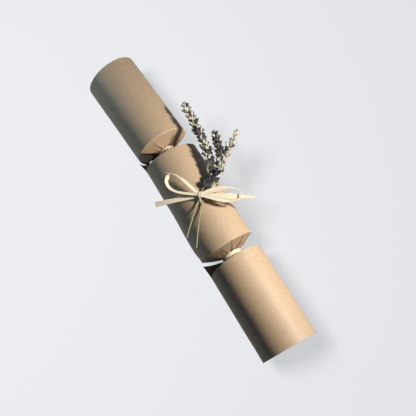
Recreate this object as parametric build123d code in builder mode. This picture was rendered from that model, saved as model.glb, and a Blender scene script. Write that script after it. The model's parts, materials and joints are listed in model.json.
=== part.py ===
"""Pull-apart christmas cracker in kraft card, tied with raffia and dressed with a lavender posy.

The cracker lies along X with its lap seams on the table. The origin is the middle of the barrel's
seam flat. Each neck tears at the barrel side of its tie, so a handle draws its neck and its half of
the snap away with it, and each handle swings sideways on its neck.
"""
import os
from math import cos, hypot, radians, sin, sqrt, tan

from build123d import *

# Card tubes
tube_radius = 25.0
card = 0.5
barrel_length = 98.0
left_handle_length = 89.0
right_handle_length = 86.0
seam_flat = 10.0
lap_margin = 1.0
tape_thickness = 0.2
lap_end_gap = 1.5

# Shoulder tabs, necks and loose flaps
left_neck_gap = 16.5
right_neck_gap = 13.5
left_rest_bend = 3.5
tab_count = 12
tab_slit = 0.5
slit_to_rim = 1.6
fold_clearance = 0.05
tear_gap = 0.2
swing_gap = 0.3
swing_clearance = 0.7
left_flap_to_rim = 4.5
right_flap_to_rim = 4.0
flap_middle = 174.0
flap_arc = 48.0
flap_gap_angle = 1.0

# Gathered throats and their raffia ties
gather_wall = 0.8
pleat_depth = 0.7
flare_lip = 1.3
flare_thickness = 0.4
tie_width = 2.8
tie_thickness = 0.95
tie_fit = 0.05
left_tie_room = 3.8
right_tie_room = 0.8
tie_knot_radius = 1.4
tie_end_length = 5.0
tie_end_radius = 0.5
tie_end_spread = 35.0

# Snap
snap_width = 10.0
snap_thickness = 0.6
snap_overlap = 40.0
snap_reach = 75.0
snap_room = 1.4
snap_fit = 0.3
patch_length = 15.0
patch_width = 8.0
patch_thickness = 0.25
patch_gap = 0.1
band_length = 24.0
band_thickness = 0.3
band_clearance = 0.15

# Contents
wall_clearance = 0.3
crown_length = 70.0
crown_thickness = 1.0
crown_start = -50.0
crown_end = 40.0
crown_points = 6
crown_point_depth = 16.0
motto_radius = 3.2
motto_wall = 0.8
motto_length = 60.0
motto_angle = 215.0
top_radius = 7.0
top_thickness = 7.0
top_peg_radius = 1.5
top_peg_length = 26.0
top_peg_fit = 0.02
top_x = 18.0

# Posy: glue, raffia bow and lavender
bow_x = 3.5
bow_y = 3.5
glue_radius = 4.5
glue_thickness = 0.6
glue_fit = 0.02
knot_radius = 3.2
knot_cap = 1.4
knot_gap = 0.05
knot_exit_gap = 0.1
raffia_width = 4.2
raffia_thickness = 0.6
raffia_gap = 0.3
loop_rise = 0.07
left_loop_heading = 213.0
right_loop_heading = 58.0
left_tail_heading = 248.0
right_tail_heading = 56.5
stem_radius = 0.65
stem_fit = 0.1
stem_spacing = 0.4
stem_across = 46.0
calyx_count = 5
calyx_length = 4.2
calyx_base = 0.75
calyx_mouth = 1.1
calyx_tilt = 36.0
whorl_pitch = 5.2
tall_first_whorl = 72.0
tall_whorls = 9
middle_first_whorl = 72.0
middle_whorls = 6
right_first_whorl = 40.0
right_whorls = 6

# Worked out from the values above
axis_height = sqrt(tube_radius**2 - (seam_flat / 2) ** 2)
bore_radius = tube_radius - card
lap_width = seam_flat - lap_margin
strip_near = patch_gap / 2 + patch_thickness
strip_far = strip_near + snap_thickness
band_inner = strip_far + band_clearance
band_height = snap_width + 2 * band_clearance
gather_bore = hypot(strip_far, snap_width / 2) + snap_room
gather_radius = gather_bore + gather_wall + pleat_depth
flare_radius = gather_radius + flare_lip
swing_radius = flare_radius + swing_clearance
tie_margin = tear_gap + swing_gap + flare_thickness
left_throat = tie_width + left_tie_room + tie_margin
right_throat = tie_width + right_tie_room + tie_margin
left_tab_depth = (left_neck_gap - left_throat) / 2
right_tab_depth = (right_neck_gap - right_throat) / 2
tie_shift = (tear_gap - swing_gap - flare_thickness) / 2
glue_top = axis_height + tube_radius + glue_thickness
stem_height = glue_top + stem_radius + stem_fit
stem_channel = 2 * (stem_radius + stem_fit)
stem_pitch = stem_channel + stem_spacing
tail_lift = stem_channel + raffia_gap + raffia_thickness / 2
loop_lift = tail_lift + raffia_thickness / 2 + raffia_gap + raffia_width / 2
knot_exit = knot_radius + knot_exit_gap
up = Vector(0, 0, 1)
left_neck = Vector(-(barrel_length + left_neck_gap) / 2, 0, axis_height)
right_neck = Vector((barrel_length + right_neck_gap) / 2, 0, axis_height)
bow_seat = Vector(bow_x, bow_y, glue_top)


def cross_plane(origin, heading):
    """Plane across a tube: its normal is horizontal at heading degrees from +X, its y points up."""
    normal = Vector(cos(radians(heading)), sin(radians(heading)), 0)
    return Plane(origin=origin, x_dir=up.cross(normal), z_dir=normal)


def facing_back(cross):
    """The same cross plane with its normal reversed and its y still up."""
    return Plane(origin=cross.origin, x_dir=-cross.x_dir, z_dir=-cross.z_dir)


def polar(radius, angle):
    """Point at a radius and an angle in degrees."""
    return (radius * cos(radians(angle)), radius * sin(radians(angle)))


barrel_plane = cross_plane(Vector(0, 0, axis_height), 0)
barrel_left_rim = cross_plane(Vector(-barrel_length / 2, 0, axis_height), 180)
barrel_right_rim = cross_plane(Vector(barrel_length / 2, 0, axis_height), 0)
left_plane = cross_plane(left_neck, 180)
right_plane = cross_plane(right_neck, 0)
left_rim = cross_plane(left_neck, 180 + left_rest_bend).offset(left_neck_gap / 2)
right_rim = right_plane.offset(right_neck_gap / 2)


def card_tube(cross, length):
    """Round card wall with its seam flat on the table and the inner lap above the tape."""
    lap_bottom = -axis_height + card + tape_thickness
    with BuildPart() as tube:
        with BuildSketch(cross):
            Circle(tube_radius)
            with Locations((0, -axis_height - tube_radius)):
                Rectangle(2 * tube_radius, 2 * tube_radius, mode=Mode.SUBTRACT)
            offset(amount=-card, kind=Kind.INTERSECTION, mode=Mode.SUBTRACT)
        extrude(amount=length)
        with BuildSketch(cross.offset(lap_end_gap)):
            with Locations((0, lap_bottom)):
                Rectangle(lap_width, card, align=(Align.CENTER, Align.MIN))
            with Locations((-lap_width / 2, lap_bottom + card)):
                Rectangle(card, card + tape_thickness, align=(Align.MIN, Align.MAX))
        extrude(amount=length - 2 * lap_end_gap)
    return tube.part


def seam_tape(cross, length):
    """Adhesive strip between the wall and the lap."""
    with BuildPart() as tape:
        with BuildSketch(cross.offset(lap_end_gap)):
            with Locations((card / 2, -axis_height + card)):
                Rectangle(lap_width - card, tape_thickness, align=(Align.CENTER, Align.MIN))
        extrude(amount=length - 2 * lap_end_gap)
    return tape.part


def shoulder_tabs(cross, depth, hole_radius, flap_length):
    """Cone of folded tabs from the rim, where the cross plane lies, in to the neck along its normal.

    A loose flap, where there is one, carries the tube's wall straight on instead of folding in.
    """
    slope = depth / (tube_radius - hole_radius)
    back = card * sqrt(1 + slope**2)
    inner_rim = bore_radius - fold_clearance
    slit_length = tube_radius - slit_to_rim - hole_radius + card
    lengthwise = Plane(origin=cross.origin, x_dir=cross.z_dir, z_dir=cross.z_dir.cross(up))
    with BuildPart() as tabs:
        with BuildSketch(lengthwise):
            with BuildLine():
                Polyline(
                    (0, tube_radius),
                    (depth, hole_radius),
                    (depth - back, hole_radius),
                    ((tube_radius - inner_rim) * slope - back, inner_rim),
                    (0, inner_rim),
                    close=True,
                )
            make_face()
        revolve(axis=Axis(cross.origin, cross.z_dir))
        with BuildSketch(cross):
            with PolarLocations(hole_radius - card + slit_length / 2, tab_count):
                Rectangle(slit_length, tab_slit)
        extrude(amount=2 * depth, both=True, mode=Mode.SUBTRACT)
        split(bisect_by=Plane.XY.offset(card + fold_clearance), keep=Keep.TOP)
        if flap_length:
            cut = flap_tips(cross, 2 * tube_radius, flap_arc + 2 * flap_gap_angle)
            with BuildSketch(cross):
                with BuildLine():
                    Line((0, 0), cut[0])
                    ThreePointArc(*cut)
                    Line(cut[2], (0, 0))
                make_face()
            extrude(amount=2 * depth, both=True, mode=Mode.SUBTRACT)
            wall = flap_tips(cross, tube_radius, flap_arc)
            with BuildSketch(cross):
                with BuildLine():
                    Line((0, 0), wall[0])
                    ThreePointArc(*wall)
                    Line(wall[2], (0, 0))
                make_face()
                Circle(bore_radius, mode=Mode.SUBTRACT)
            extrude(amount=flap_length)
    return tabs.part


def flap_tips(cross, radius, arc):
    """Two ends and middle of an arc on the -Y side of the tube, in the plane's own x and y."""
    side = 1 if cross.x_dir.Y > 0 else -1
    tips = [polar(radius, flap_middle + turn) for turn in (-arc / 2, 0, arc / 2)]
    return [(side * x, y) for x, y in tips]


def pleated_ring(outer):
    """Points of a pleated outline: ridges and valleys by turns, two for each tab."""
    step = 180 / tab_count
    return [polar(outer - pleat_depth * (index % 2), index * step) for index in range(2 * tab_count)]


def neck_gather(cross, throat):
    """Pleated card throat from the tear line to the handle, flared where the handle's tabs begin.

    Under the tie the card is pinched shut on the snap, which passes through in a slot.
    """
    end = throat / 2 - swing_gap
    with BuildPart() as gather:
        with BuildSketch(cross.offset(-throat / 2 + tear_gap)):
            Polygon(*pleated_ring(gather_radius), align=None)
        extrude(amount=throat - tear_gap - swing_gap)
        with BuildSketch(cross.offset(end - flare_thickness)):
            Polygon(*pleated_ring(flare_radius), align=None)
        extrude(amount=flare_thickness)
        with BuildSketch(cross):
            Circle(gather_bore)
        extrude(amount=throat, both=True, mode=Mode.SUBTRACT)
        with BuildSketch(cross.offset(tie_shift)):
            Circle(gather_bore + gather_wall / 2)
            with Locations((-(strip_near + strip_far) / 2, 0)):
                Rectangle(snap_thickness + 2 * snap_fit, snap_width + 2 * snap_fit, mode=Mode.SUBTRACT)
        extrude(amount=tie_width / 2, both=True)
    return gather.part


def neck_tie(cross):
    """Flat raffia band drawn tight round the throat, knotted underneath with two cut ends."""
    inner = gather_radius + tie_fit
    outer = inner + tie_thickness
    middle = cross.offset(tie_shift)
    knot_place = middle.location * Location((0, tie_thickness - tie_knot_radius - outer, 0))
    end_places = [
        knot_place * Location((0, 0, 0), (90, 0, 0)) * Location((0, 0, 0), (0, turn, 0))
        for turn in (-tie_end_spread, tie_end_spread)
    ]
    with BuildPart() as tie:
        with BuildSketch(middle):
            Circle(outer)
        extrude(amount=tie_width / 2, both=True)
        with Locations(knot_place):
            Sphere(tie_knot_radius)
        with Locations(*end_places):
            Cylinder(tie_end_radius, tie_end_length, align=(Align.CENTER, Align.CENTER, Align.MIN))
        with BuildSketch(middle):
            Circle(inner)
        extrude(amount=tie_width, both=True, mode=Mode.SUBTRACT)
    return tie.part


def standing_strip(start, end, near, far, width):
    """Strip on edge along the cracker's axis, between two distances from the middle plane."""
    with BuildPart() as strip:
        with BuildSketch(Plane.XY.offset(axis_height - width / 2)):
            with Locations(((start + end) / 2, (near + far) / 2)):
                Rectangle(end - start, far - near)
        extrude(amount=width)
    return strip.part


def bend_radii(name, points):
    """Largest fair radius at each corner of a route, printed with the route's name."""
    corners = [Vector(*point) for point in points]
    radii = []
    for before, here, after in zip(corners, corners[1:], corners[2:]):
        arriving = here - before
        leaving = after - here
        turn = radians(arriving.get_angle(leaving))
        radii.append(0.45 * min(arriving.length, leaving.length) / tan(turn / 2))
    print(name, "radii", [round(radius, 1) for radius in radii])
    return radii


def raffia_ribbon(name, plane, route):
    """Flat strand that follows a route in its plane, with its width square to the plane."""
    with BuildPart() as ribbon:
        with BuildSketch(plane):
            with BuildLine():
                FilletPolyline(*route, radius=bend_radii(name, route))
            trace(line_width=raffia_thickness)
        extrude(amount=raffia_width / 2, both=True)
    return ribbon.part


def loop_plane(heading):
    """Plane of a bow loop: through the knot, rising a little along the heading in degrees."""
    rise_x, rise_y = polar(loop_rise, heading)
    middle = bow_seat + Vector(0, 0, loop_lift)
    return Plane(origin=middle, x_dir=(1, 0, rise_x), z_dir=(-rise_x, -rise_y, 1))


def tail_plane(heading):
    """Upright plane of a bow tail: x runs out from the knot at the heading, y points up."""
    outward = Vector(*polar(1, heading), 0)
    return Plane(origin=bow_seat, x_dir=outward, z_dir=outward.cross(up))


def stem_path(name, route):
    """Lavender stem's line: straight runs joined by tangent arcs."""
    with BuildLine() as path:
        FilletPolyline(*route, radius=bend_radii(name, route))
    return path.wires()[0]


def sprig(path, first_whorl, whorls):
    """Dried lavender: a stem and whorls of calyces that lean out along its upper end."""
    places = []
    for whorl in range(whorls):
        share = (first_whorl + whorl * whorl_pitch) / path.length
        seat = Plane(origin=path @ share, z_dir=path % share).location
        for index in range(calyx_count):
            turn = 360 * (index + whorl % 2 / 2) / calyx_count
            places.append(seat * Location((0, 0, 0), (0, 0, turn)) * Location((0, 0, 0), (0, calyx_tilt, 0)))
    with BuildPart() as spike:
        with BuildSketch(Plane(origin=path @ 0, z_dir=path % 0)):
            Circle(stem_radius)
        sweep(path=path)
        with Locations(*places):
            Cone(calyx_base, calyx_mouth, calyx_length, align=(Align.CENTER, Align.CENTER, Align.MIN))
    return spike.part


# Raffia routes, measured from the knot, in each loop's plane and each tail's upright plane
left_loop_route = [
    polar(knot_exit, 198),
    (-13.0, -3.6),
    (-24.0, -6.6),
    (-30.0, -12.5),
    (-26.0, -19.0),
    (-17.5, -19.5),
    (-9.0, -13.0),
    polar(knot_exit, 233.5),
]
right_loop_route = [
    polar(knot_exit, 78),
    (2.6, 12.0),
    (6.2, 21.5),
    (11.5, 29.0),
    (18.0, 31.0),
    (21.5, 25.5),
    (17.0, 17.0),
    (9.0, 8.8),
    polar(knot_exit, 43.8),
]
left_tail_route = [
    (knot_exit, tail_lift),
    (14.0, tail_lift - 0.3),
    (27.0, tail_lift - 1.4),
    (38.5, tail_lift - 4.4),
]
right_tail_route = [
    (knot_exit, tail_lift),
    (14.0, tail_lift - 0.4),
    (28.0, tail_lift - 1.7),
    (46.0, tail_lift - 4.5),
]

# Lavender routes, from the cut end of the stem through the knot to the tip
stem_step = polar(stem_pitch, stem_across)
tall_route = [
    (28.8, -25.1, stem_height),
    (bow_x - stem_step[0], bow_y - stem_step[1], stem_height),
    (-13.9, 17.1, stem_height + 0.3),
    (-44.3, 28.8, stem_height - 3.5),
    (-78.4, 35.2, stem_height - 2.5),
]
middle_route = [
    (40.5, -22.4, stem_height),
    (bow_x, bow_y, stem_height),
    (-5.5, 19.7, stem_height),
    (-16.8, 32.2, stem_height),
    (-39.4, 43.2, stem_height + 1.5),
]
right_route = [
    (11.5, 0.3, stem_height),
    (bow_x + stem_step[0], bow_y + stem_step[1], stem_height),
    (3.1, 14.0, stem_height + 0.3),
    (-4.1, 29.8, stem_height),
    (-28.5, 58.8, stem_height + 0.5),
]
tall_path = stem_path("tall stem", tall_route)
middle_path = stem_path("middle stem", middle_route)
right_path = stem_path("right stem", right_route)

pieces = {}

# Barrel: card tube, seam tape, tabs folded in at both ends and a loose flap on the left
left_flap = left_neck_gap - left_flap_to_rim
pieces["barrel_tube"] = card_tube(facing_back(barrel_left_rim), barrel_length)
pieces["barrel_seam_tape"] = seam_tape(facing_back(barrel_left_rim), barrel_length)
pieces["barrel_left_tabs"] = shoulder_tabs(barrel_left_rim, left_tab_depth, gather_radius, left_flap)
pieces["barrel_right_tabs"] = shoulder_tabs(barrel_right_rim, right_tab_depth, gather_radius, 0)

# Handles: card tube open at its outer end, seam tape, tabs folded in at the neck
left_tab_plane = facing_back(left_rim)
right_tab_plane = facing_back(right_rim)
right_flap = right_neck_gap - right_flap_to_rim
pieces["left_handle_tube"] = card_tube(left_rim, left_handle_length)
pieces["left_handle_seam_tape"] = seam_tape(left_rim, left_handle_length)
pieces["left_handle_tabs"] = shoulder_tabs(left_tab_plane, left_tab_depth, swing_radius, 0)
pieces["right_handle_tube"] = card_tube(right_rim, right_handle_length)
pieces["right_handle_seam_tape"] = seam_tape(right_rim, right_handle_length)
pieces["right_handle_tabs"] = shoulder_tabs(right_tab_plane, right_tab_depth, swing_radius, right_flap)

# Necks: gathered throats and raffia ties
pieces["left_neck_gather"] = neck_gather(left_plane, left_throat)
pieces["right_neck_gather"] = neck_gather(right_plane, right_throat)
pieces["left_neck_tie"] = neck_tie(left_plane)
pieces["right_neck_tie"] = neck_tie(right_plane)

# Snap: two card strips on edge, a friction patch on each facing side, a paper band round the overlap
left_strip_end = left_neck.X - snap_reach
right_strip_end = right_neck.X + snap_reach
lap_end = snap_overlap / 2
patch_edge = lap_end - patch_length
pieces["left_snap_strip"] = standing_strip(left_strip_end, lap_end, strip_near, strip_far, snap_width)
pieces["right_snap_strip"] = standing_strip(-lap_end, right_strip_end, -strip_far, -strip_near, snap_width)
pieces["left_snap_patch"] = standing_strip(patch_edge, lap_end, patch_gap / 2, strip_near, patch_width)
pieces["right_snap_patch"] = standing_strip(-lap_end, -patch_edge, -strip_near, -patch_gap / 2, patch_width)
with BuildPart() as snap_band:
    with BuildSketch(barrel_plane):
        Rectangle(2 * (band_inner + band_thickness), band_height + 2 * band_thickness)
        Rectangle(2 * band_inner, band_height, mode=Mode.SUBTRACT)
    extrude(amount=band_length / 2, both=True)
pieces["snap_band"] = snap_band.part

# Paper crown: folded tissue that lies against the wall, with its points along one edge
crown_outer = bore_radius - wall_clearance
crown_inner = crown_outer - crown_thickness
crown_angles = (crown_start, (crown_start + crown_end) / 2, crown_end)
point_pitch = (crown_end - crown_start) / crown_points
notch_half = crown_outer * tan(radians(point_pitch / 2))
crown_edge = Vector(crown_length / 2, 0, axis_height)
with BuildPart() as paper_crown:
    with BuildSketch(barrel_plane):
        with BuildLine():
            outer_line = ThreePointArc(*[polar(crown_outer, angle) for angle in crown_angles])
            inner_line = ThreePointArc(*[polar(crown_inner, angle) for angle in crown_angles])
            Line(outer_line @ 0, inner_line @ 0)
            Line(outer_line @ 1, inner_line @ 1)
        make_face()
    extrude(amount=crown_length / 2, both=True)
    for index in range(1, crown_points):
        outward = Vector(0, *polar(1, crown_start + index * point_pitch))
        notch_plane = Plane(origin=crown_edge, x_dir=Vector(0, -outward.Z, outward.Y), z_dir=outward)
        with BuildSketch(notch_plane.offset(crown_inner - crown_thickness)):
            with BuildLine():
                Polyline((-notch_half, 0), (notch_half, 0), (0, crown_point_depth), close=True)
            make_face()
        extrude(amount=3 * crown_thickness, mode=Mode.SUBTRACT)
pieces["paper_crown"] = paper_crown.part

# Motto: a slip of paper rolled into a scroll
with BuildPart() as motto_slip:
    with BuildSketch(barrel_plane):
        with Locations(polar(bore_radius - wall_clearance - motto_radius, motto_angle)):
            Circle(motto_radius)
            Circle(motto_radius - motto_wall, mode=Mode.SUBTRACT)
    extrude(amount=motto_length / 2, both=True)
pieces["motto_slip"] = motto_slip.part

# Gift: a wooden spinning top, a turned disc on a peg, lying on the seam's lap
top_height = card + tape_thickness + card + wall_clearance + top_radius
top_plane = cross_plane(Vector(top_x, 0, top_height), 0)
with BuildPart() as gift_top_disc:
    with BuildSketch(top_plane):
        Circle(top_radius)
        Circle(top_peg_radius + top_peg_fit, mode=Mode.SUBTRACT)
    extrude(amount=top_thickness)
    chamfer(gift_top_disc.faces().sort_by(Axis.X)[-1].outer_wire().edges(), length=top_thickness / 3)
pieces["gift_top_disc"] = gift_top_disc.part
with BuildPart() as gift_top_peg:
    with BuildSketch(top_plane.offset(-(top_peg_length - top_thickness) / 2)):
        Circle(top_peg_radius)
    extrude(amount=top_peg_length)
    chamfer(gift_top_peg.faces().sort_by(Axis.X)[-1].edges(), length=top_peg_radius / 2)
pieces["gift_top_peg"] = gift_top_peg.part

# Glue: a flat dot that fills the space between the barrel's round top and the posy
with BuildPart() as glue_dot:
    with BuildSketch(Plane(origin=bow_seat)):
        Circle(glue_radius)
    extrude(amount=-tube_radius)
    with BuildSketch(barrel_plane):
        Circle(tube_radius + glue_fit)
    extrude(amount=barrel_length, both=True, mode=Mode.SUBTRACT)
    split(bisect_by=Plane.XY.offset(axis_height), keep=Keep.TOP)
pieces["glue_dot"] = glue_dot.part

# Lavender sprigs
pieces["lavender_tall_sprig"] = sprig(tall_path, tall_first_whorl, tall_whorls)
pieces["lavender_middle_sprig"] = sprig(middle_path, middle_first_whorl, middle_whorls)
pieces["lavender_right_sprig"] = sprig(right_path, right_first_whorl, right_whorls)

# Bow: the knot binds the stems to the glue, loops and tails leave its sides
with BuildPart() as bow_knot:
    with BuildSketch(Plane(origin=bow_seat + Vector(0, 0, knot_gap))):
        Circle(knot_radius)
    extrude(amount=loop_lift + knot_cap)
    fillet(bow_knot.edges().filter_by(GeomType.CIRCLE).sort_by(Axis.Z)[-1], radius=knot_cap)
    for path in (tall_path, middle_path, right_path):
        with BuildSketch(Plane(origin=path @ 0, z_dir=path % 0)):
            Circle(stem_radius + stem_fit)
        sweep(path=path, mode=Mode.SUBTRACT)
pieces["bow_knot"] = bow_knot.part
pieces["bow_left_loop"] = raffia_ribbon("left loop", loop_plane(left_loop_heading), left_loop_route)
pieces["bow_right_loop"] = raffia_ribbon("right loop", loop_plane(right_loop_heading), right_loop_route)
pieces["bow_left_tail"] = raffia_ribbon("left tail", tail_plane(left_tail_heading), left_tail_route)
pieces["bow_right_tail"] = raffia_ribbon("right tail", tail_plane(right_tail_heading), right_tail_route)

os.makedirs("parts", exist_ok=True)
for name, piece in pieces.items():
    piece.label = name
    export_step(piece, f"parts/{name}.step")
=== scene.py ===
"""Looks of a kraft card christmas cracker, tied with raffia and dressed with dried lavender.

Lengths in the source are millimetres times mm, so that every object is in metres. The cracker lies along X,
+Y is its lit side and +Z is up. An angle round a tube is counted from its top towards +Y.
"""
import json

import bpy
import numpy as np
from mathutils import Matrix, Vector


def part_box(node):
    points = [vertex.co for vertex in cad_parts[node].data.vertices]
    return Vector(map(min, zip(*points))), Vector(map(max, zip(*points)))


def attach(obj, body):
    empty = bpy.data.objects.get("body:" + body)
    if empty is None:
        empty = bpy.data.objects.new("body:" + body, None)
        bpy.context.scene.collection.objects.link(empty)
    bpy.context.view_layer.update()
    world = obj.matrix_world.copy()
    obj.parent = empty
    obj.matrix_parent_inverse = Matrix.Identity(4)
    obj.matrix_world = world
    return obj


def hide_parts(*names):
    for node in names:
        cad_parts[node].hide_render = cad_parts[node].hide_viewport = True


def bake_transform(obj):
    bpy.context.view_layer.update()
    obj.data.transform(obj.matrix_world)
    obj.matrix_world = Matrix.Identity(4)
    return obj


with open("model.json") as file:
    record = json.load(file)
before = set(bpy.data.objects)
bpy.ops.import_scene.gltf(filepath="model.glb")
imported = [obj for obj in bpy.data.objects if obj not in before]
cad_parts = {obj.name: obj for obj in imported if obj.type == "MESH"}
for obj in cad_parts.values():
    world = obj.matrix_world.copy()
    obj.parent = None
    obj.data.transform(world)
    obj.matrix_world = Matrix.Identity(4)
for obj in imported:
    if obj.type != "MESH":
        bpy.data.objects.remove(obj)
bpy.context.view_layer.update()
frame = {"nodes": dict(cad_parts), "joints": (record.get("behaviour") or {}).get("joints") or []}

mm = 0.001

# Sizes read from the frame
barrel_low, barrel_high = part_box("barrel_tube")
tube_radius = (barrel_high.y - barrel_low.y) / 2
axis_height = barrel_high.z - tube_radius
hinges = {joint["name"]: Vector(joint["pos_m"]) for joint in frame["joints"] if joint["type"] == "hinge"}
left_neck = hinges["left_bend"]
right_neck = hinges["right_bend"]
left_half_gap = barrel_low.x - left_neck.x
right_half_gap = right_neck.x - barrel_high.x
left_bend = np.radians(3.5)
left_reach = left_neck.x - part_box("left_handle_tube")[0].x - tube_radius * np.sin(left_bend)
left_mouth = left_reach / np.cos(left_bend)
right_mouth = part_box("right_handle_tube")[1].x - right_neck.x
knot_low, knot_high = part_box("bow_knot")
bow_x = (knot_low.x + knot_high.x) / 2
bow_y = (knot_low.y + knot_high.y) / 2
bow_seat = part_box("glue_dot")[1].z

# Card and raffia
card = 0.5 * mm
throat_radius = 8.0 * mm
tab_depth = 4.5 * mm
fold_back = 0.35 * mm
seam_tape_thickness = 0.2 * mm
raffia_thickness = 0.3 * mm
tail_lift = 2.1 * mm
loop_lift = 4.8 * mm

# Loose tabs: at each side an angle, then millimetres of length and of spring at the free edge
left_flap = ((-130, 16.0, 2.5), (-91, 11.2, 2.0))
handle_flap = ((-124, 6.8, -3.0), (-56, 6.5, -10.0))
right_flap = ((-135, 11.8, -12.0), (-91, 13.4, 1.0))

# Angles that the loose tabs take from the folded ones
left_skip = (-131.5, -89.5)
handle_skip = (-125.5, -55)
right_skip = (-136.5, -89.5)


# Meshes

def smooth_step(low, high, value):
    """0 before low, 1 after high, and a smooth S between them."""
    share = np.clip((value - low) / (high - low), 0, 1)
    return share * share * (3 - 2 * share)


def unit(vectors):
    """The same vectors at length 1."""
    return vectors / np.linalg.norm(vectors, axis=-1, keepdims=True)


def grid(first, second):
    """Two parameters on a grid: the first changes down its rows, the second along its columns."""
    return np.meshgrid(first, second, indexing="ij")


def joined(*values):
    """Arrays of one coordinate each, joined into points."""
    return np.stack(np.broadcast_arrays(*values), axis=-1)


def full_turn(count):
    """Even steps of angle round a full turn."""
    return np.linspace(0, 2 * np.pi, count, endpoint=False)


def grid_faces(rows, columns, wrap):
    """Corner numbers of a grid's quads, row by row. Wrap joins the last column to the first."""
    row, column = grid(np.arange(rows - 1), np.arange(columns - (not wrap)))
    after = (column + 1) % columns
    corners = (row * columns + column, row * columns + after,
               (row + 1) * columns + after, (row + 1) * columns + column)
    return joined(*corners).reshape(-1, 4)


def slab(outer, inner, uv, wrap=False, pale=None, border=1):
    """Closed sheet between two grids of points: both faces, and quads along the open borders.

    Border is the number of the finish on those quads. Pale marks, quad by quad, where the outer face shows
    raw edge too.
    """
    rows, columns = outer.shape[:2]
    count = rows * columns
    faces = grid_faces(rows, columns, wrap)
    number = np.arange(count).reshape(rows, columns)
    if wrap:
        loops = [number[0], number[-1][::-1]]
    else:
        loops = [np.concatenate([number[0, :-1], number[:-1, -1], number[-1, :0:-1], number[:0:-1, 0]])]
    rim = [joined(np.roll(loop, -1), loop, loop + count, np.roll(loop, -1) + count) for loop in loops]
    rim = np.concatenate(rim)
    front = np.zeros(len(faces), int) if pale is None else pale.reshape(-1).astype(int)
    return {"points": np.concatenate([outer.reshape(-1, 3), inner.reshape(-1, 3)]),
            "faces": np.concatenate([faces, faces[:, ::-1] + count, rim]),
            "uv": np.concatenate([uv.reshape(-1, 2)] * 2),
            "edge": np.concatenate([front, np.zeros(len(faces), int), np.full(len(rim), border)])}


def loft(rings, uv=None, edge=0):
    """Closed skin over rings of points, each end closed by quads from one side of its ring to the other."""
    rows, columns = rings.shape[:2]
    faces = [grid_faces(rows, columns, True)]
    step = np.arange(columns // 2 - 1)
    for row, turned in ((0, True), (rows - 1, False)):
        ring = row * columns + np.arange(columns)
        lid = joined(ring[step], ring[step + 1], ring[columns - 2 - step], ring[columns - 1 - step])
        faces.append(lid[:, ::-1] if turned else lid)
    faces = np.concatenate(faces)
    if uv is None:
        down, around = grid(np.linspace(0, 1, rows), np.linspace(0, 1, columns))
        uv = joined(around, down)
    return {"points": rings.reshape(-1, 3), "faces": faces, "uv": uv.reshape(-1, 2),
            "edge": np.full(len(faces), edge)}


def tinted(part, tint):
    """The part with a tint, one for all its points or one each."""
    part["tint"] = np.broadcast_to(tint, len(part["points"]))
    return part


def outward(part):
    """The part with its faces turned to point out, by the sign of the volume that they enclose."""
    corner = part["points"][part["faces"]]
    diagonals = np.cross(corner[:, 2] - corner[:, 0], corner[:, 3] - corner[:, 1])
    volume = (corner.mean(axis=1) * diagonals).sum()
    if volume < 0:
        part["faces"] = part["faces"][:, ::-1]
    return part


def piece_from(name, parts, finishes, body=None, node=None):
    """One object from several closed parts, which rides a body and takes the place of a node.

    The second finish goes on raw edges. Where the parts have tints, the finish reads them.
    """
    starts = np.cumsum([0] + [len(part["points"]) for part in parts])
    parts = [outward(part) for part in parts]
    points = np.concatenate([part["points"] for part in parts]).astype(np.float32)
    faces = np.concatenate([part["faces"] + start for part, start in zip(parts, starts)]).astype(np.int32)
    uv = np.concatenate([part["uv"] for part in parts]).astype(np.float32)
    edge = np.concatenate([part["edge"] for part in parts]).astype(np.int32)
    mesh = bpy.data.meshes.new(name)
    mesh.vertices.add(len(points))
    mesh.vertices.foreach_set("co", points.ravel())
    mesh.loops.add(faces.size)
    mesh.loops.foreach_set("vertex_index", faces.ravel())
    mesh.polygons.add(len(faces))
    mesh.polygons.foreach_set("loop_start", np.arange(0, faces.size, 4, dtype=np.int32))
    mesh.polygons.foreach_set("material_index", np.minimum(edge, len(finishes) - 1))
    mesh.update(calc_edges=True)
    layer = mesh.uv_layers.new(name="UVMap")
    layer.data.foreach_set("uv", uv[faces.ravel()].ravel())
    if "tint" in parts[0]:
        tints = np.concatenate([part["tint"] for part in parts]).astype(np.float32)
        mesh.attributes.new("tint", "FLOAT", "POINT").data.foreach_set("value", tints)
    for finish in finishes:
        mesh.materials.append(finish)
    mesh.polygons.foreach_set("use_smooth", np.ones(len(faces), bool))
    mesh.set_sharp_from_angle(angle=np.radians(38))
    made = bpy.data.objects.new(name, mesh)
    bpy.context.scene.collection.objects.link(made)
    if body:
        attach(made, body)
    if node:
        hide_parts(node)
    return made


def route_line(route, count):
    """Evenly spaced points on a route's smooth line, a NURBS spline with the route's points as controls."""
    curve = bpy.data.curves.new("route", "CURVE")
    curve.dimensions = "3D"
    curve.resolution_u = 24
    spline = curve.splines.new("NURBS")
    spline.points.add(len(route) - 1)
    for control, point in zip(spline.points, route):
        control.co = (*point, 1)
    spline.order_u = 3
    spline.use_endpoint_u = True
    holder = bpy.data.objects.new("route", curve)
    bpy.context.scene.collection.objects.link(holder)
    bpy.context.view_layer.update()
    mesh = bpy.data.meshes.new_from_object(holder.evaluated_get(bpy.context.evaluated_depsgraph_get()))
    line = np.array([vertex.co for vertex in mesh.vertices])
    bpy.data.objects.remove(holder)
    bpy.data.meshes.remove(mesh)
    run = run_along(line)
    where = np.linspace(0, run[-1], count)
    return joined(*[np.interp(where, run, line[:, axis]) for axis in range(3)]), run[-1]


def run_along(line):
    """Length of a line up to each of its points."""
    return np.concatenate([[0], np.cumsum(np.linalg.norm(np.diff(line, axis=0), axis=1))])


def line_frames(line):
    """Direction, level across and lift at each point of a line."""
    direction = unit(np.gradient(line, axis=0))
    across = unit(np.cross(direction, (0, 0, 1)))
    return direction, across, np.cross(across, direction)


# Finishes

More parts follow.
